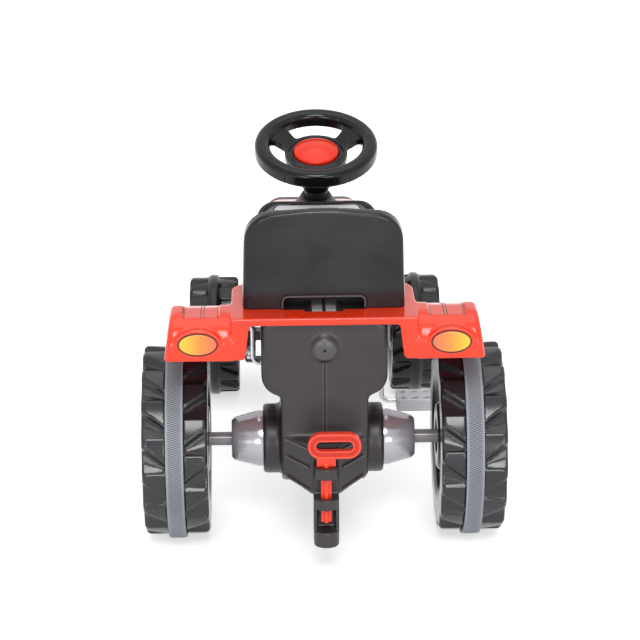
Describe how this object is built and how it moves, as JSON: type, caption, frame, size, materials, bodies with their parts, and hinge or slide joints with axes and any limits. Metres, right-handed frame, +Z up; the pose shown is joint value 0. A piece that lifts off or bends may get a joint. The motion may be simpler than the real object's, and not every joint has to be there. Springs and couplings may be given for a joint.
{
  "type": "ride-on pedal tractor",
  "caption": "Child's ride-on pedal tractor with chain-driven rear wheel, lugged wheels, linked steering, bucket seat, mudguards and a tow hitch with a lift-out pin.",
  "frame": {"origin": "on the ground under the middle of the tractor's box", "axes": "+Y the way it drives, +X its right side, +Z up"},
  "size_m": [0.51, 0.923, 0.5233],
  "materials": {
    "body_black": "satin blow-moulded polyethylene",
    "seat_black": "satin moulded polypropylene",
    "tyre_black": "satin blow-moulded polyethylene",
    "red_plastic": "glossy moulded polypropylene",
    "grey_plastic": "satin moulded polypropylene",
    "tread_grey": "textured soft strip",
    "steel": "bright zinc",
    "lens_amber": "glossy lens",
    "lens_clear": "glossy lens",
    "panel_grey": "satin panel"
  },
  "bodies": {
    "chassis": {"main_body": "body_black", "belly_pan": "body_black", "seat": "seat_black", "fender": "red_plastic", "tail_light_left": "lens_amber", "tail_light_right": "lens_amber", "bonnet": "red_plastic", "front_grille": "body_black", "headlight_left": "lens_clear", "headlight_right": "lens_clear", "dash_panel": "body_black", "instrument_face": "panel_grey", "axle_housing_left": "grey_plastic", "axle_housing_right": "grey_plastic", "axle_sleeve_left": "grey_plastic", "axle_sleeve_right": "grey_plastic", "crank_bush_left": "grey_plastic", "crank_bush_right": "grey_plastic", "front_axle_beam": "steel", "kingpins": "steel", "column_sleeve": "body_black", "column_bush_upper": "grey_plastic", "column_bush_lower": "grey_plastic", "hitch_bracket": "body_black", "fender_screws": "steel", "seat_bolts": "steel", "belly_pan_screws": "steel", "bonnet_screws": "steel", "axle_beam_bolts": "steel", "hitch_bolts": "steel", "drive_chain": "steel"},
    "steering": {"steering_wheel": "seat_black", "steering_shaft": "steel", "horn_spring": "steel"},
    "horn": {"horn_button": "red_plastic"},
    "knuckle_left": {"knuckle_left": "steel", "front_push_nut_left": "steel"},
    "knuckle_right": {"knuckle_right": "steel", "front_push_nut_right": "steel"},
    "tie_rod": {"tie_rod": "steel", "tie_rod_pins": "steel"},
    "front_wheel_left": {"front_wheel_left": "tyre_black", "front_hub_cap_left": "red_plastic"},
    "front_wheel_right": {"front_wheel_right": "tyre_black", "front_hub_cap_right": "red_plastic"},
    "rear_axle": {"rear_axle": "steel", "rear_sprocket": "steel", "rear_push_nuts": "steel", "rear_wheel_right": "tyre_black", "tread_band_right": "tread_grey", "rear_hub_cap_right": "red_plastic"},
    "rear_wheel_left": {"rear_wheel_left": "tyre_black", "tread_band_left": "tread_grey", "rear_hub_cap_left": "red_plastic"},
    "crank": {"pedal_crank": "steel", "crank_sprocket": "steel", "pedal_end_caps": "grey_plastic"},
    "pedal_left": {"pedal_left": "grey_plastic"},
    "pedal_right": {"pedal_right": "grey_plastic"},
    "hitch_pin": {"hitch_pin": "red_plastic"}
  },
  "joints": [
    {"name": "steering_turn", "type": "hinge", "parent": "chassis", "child": "steering", "pos_m": [0, 0.0795, 0.484], "axis": [0, -0.3338, 0.9426], "range_deg": [-50, 50]},
    {"name": "horn_press", "type": "slide", "parent": "steering", "child": "horn", "axis": [0, 0.3338, -0.9426], "range_m": [0, 0.003], "stiffness_N_per_m": 700, "springref_m": -0.003, "deforming": ["horn_spring"]},
    {"name": "knuckle_left_turn", "type": "hinge", "parent": "chassis", "child": "knuckle_left", "pos_m": [-0.108, 0.3195, 0.1], "axis": [0, 0, 1], "range_deg": [-20, 20]},
    {"name": "knuckle_right_turn", "type": "hinge", "parent": "chassis", "child": "knuckle_right", "pos_m": [0.108, 0.3195, 0.1], "axis": [0, 0, 1], "range_deg": [-20, 20]},
    {"name": "tie_rod_pivot", "type": "hinge", "parent": "knuckle_left", "child": "tie_rod", "pos_m": [-0.108, 0.2395, 0.0835], "axis": [0, 0, 1], "range_deg": [-20, 20]},
    {"name": "front_wheel_left_roll", "type": "hinge", "parent": "knuckle_left", "child": "front_wheel_left", "pos_m": [-0.166, 0.3195, 0.1], "axis": [1, 0, 0], "continuous": true},
    {"name": "front_wheel_right_roll", "type": "hinge", "parent": "knuckle_right", "child": "front_wheel_right", "pos_m": [0.166, 0.3195, 0.1], "axis": [1, 0, 0], "continuous": true},
    {"name": "rear_axle_roll", "type": "hinge", "parent": "chassis", "child": "rear_axle", "pos_m": [0, -0.2605, 0.141], "axis": [1, 0, 0], "continuous": true},
    {"name": "rear_wheel_left_roll", "type": "hinge", "parent": "chassis", "child": "rear_wheel_left", "pos_m": [-0.209, -0.2605, 0.141], "axis": [1, 0, 0], "continuous": true},
    {"name": "crank_turn", "type": "hinge", "parent": "chassis", "child": "crank", "pos_m": [0, 0.0845, 0.132], "axis": [1, 0, 0], "continuous": true},
    {"name": "pedal_left_turn", "type": "hinge", "parent": "crank", "child": "pedal_left", "pos_m": [-0.16, 0.0845, 0.198], "axis": [1, 0, 0], "continuous": true},
    {"name": "pedal_right_turn", "type": "hinge", "parent": "crank", "child": "pedal_right", "pos_m": [0.16, 0.0845, 0.066], "axis": [1, 0, 0], "continuous": true},
    {"name": "hitch_pin_lift", "type": "slide", "parent": "chassis", "child": "hitch_pin", "axis": [0, 0, 1], "range_m": [0, 0.095]}
  ],
  "couplings": [
    {"joint": "knuckle_left_turn", "follows": "steering_turn", "ratio": 0.4},
    {"joint": "knuckle_right_turn", "follows": "steering_turn", "ratio": 0.4},
    {"joint": "tie_rod_pivot", "follows": "steering_turn", "ratio": -0.4},
    {"joint": "crank_turn", "follows": "rear_axle_roll", "ratio": 0.8}
  ]
}
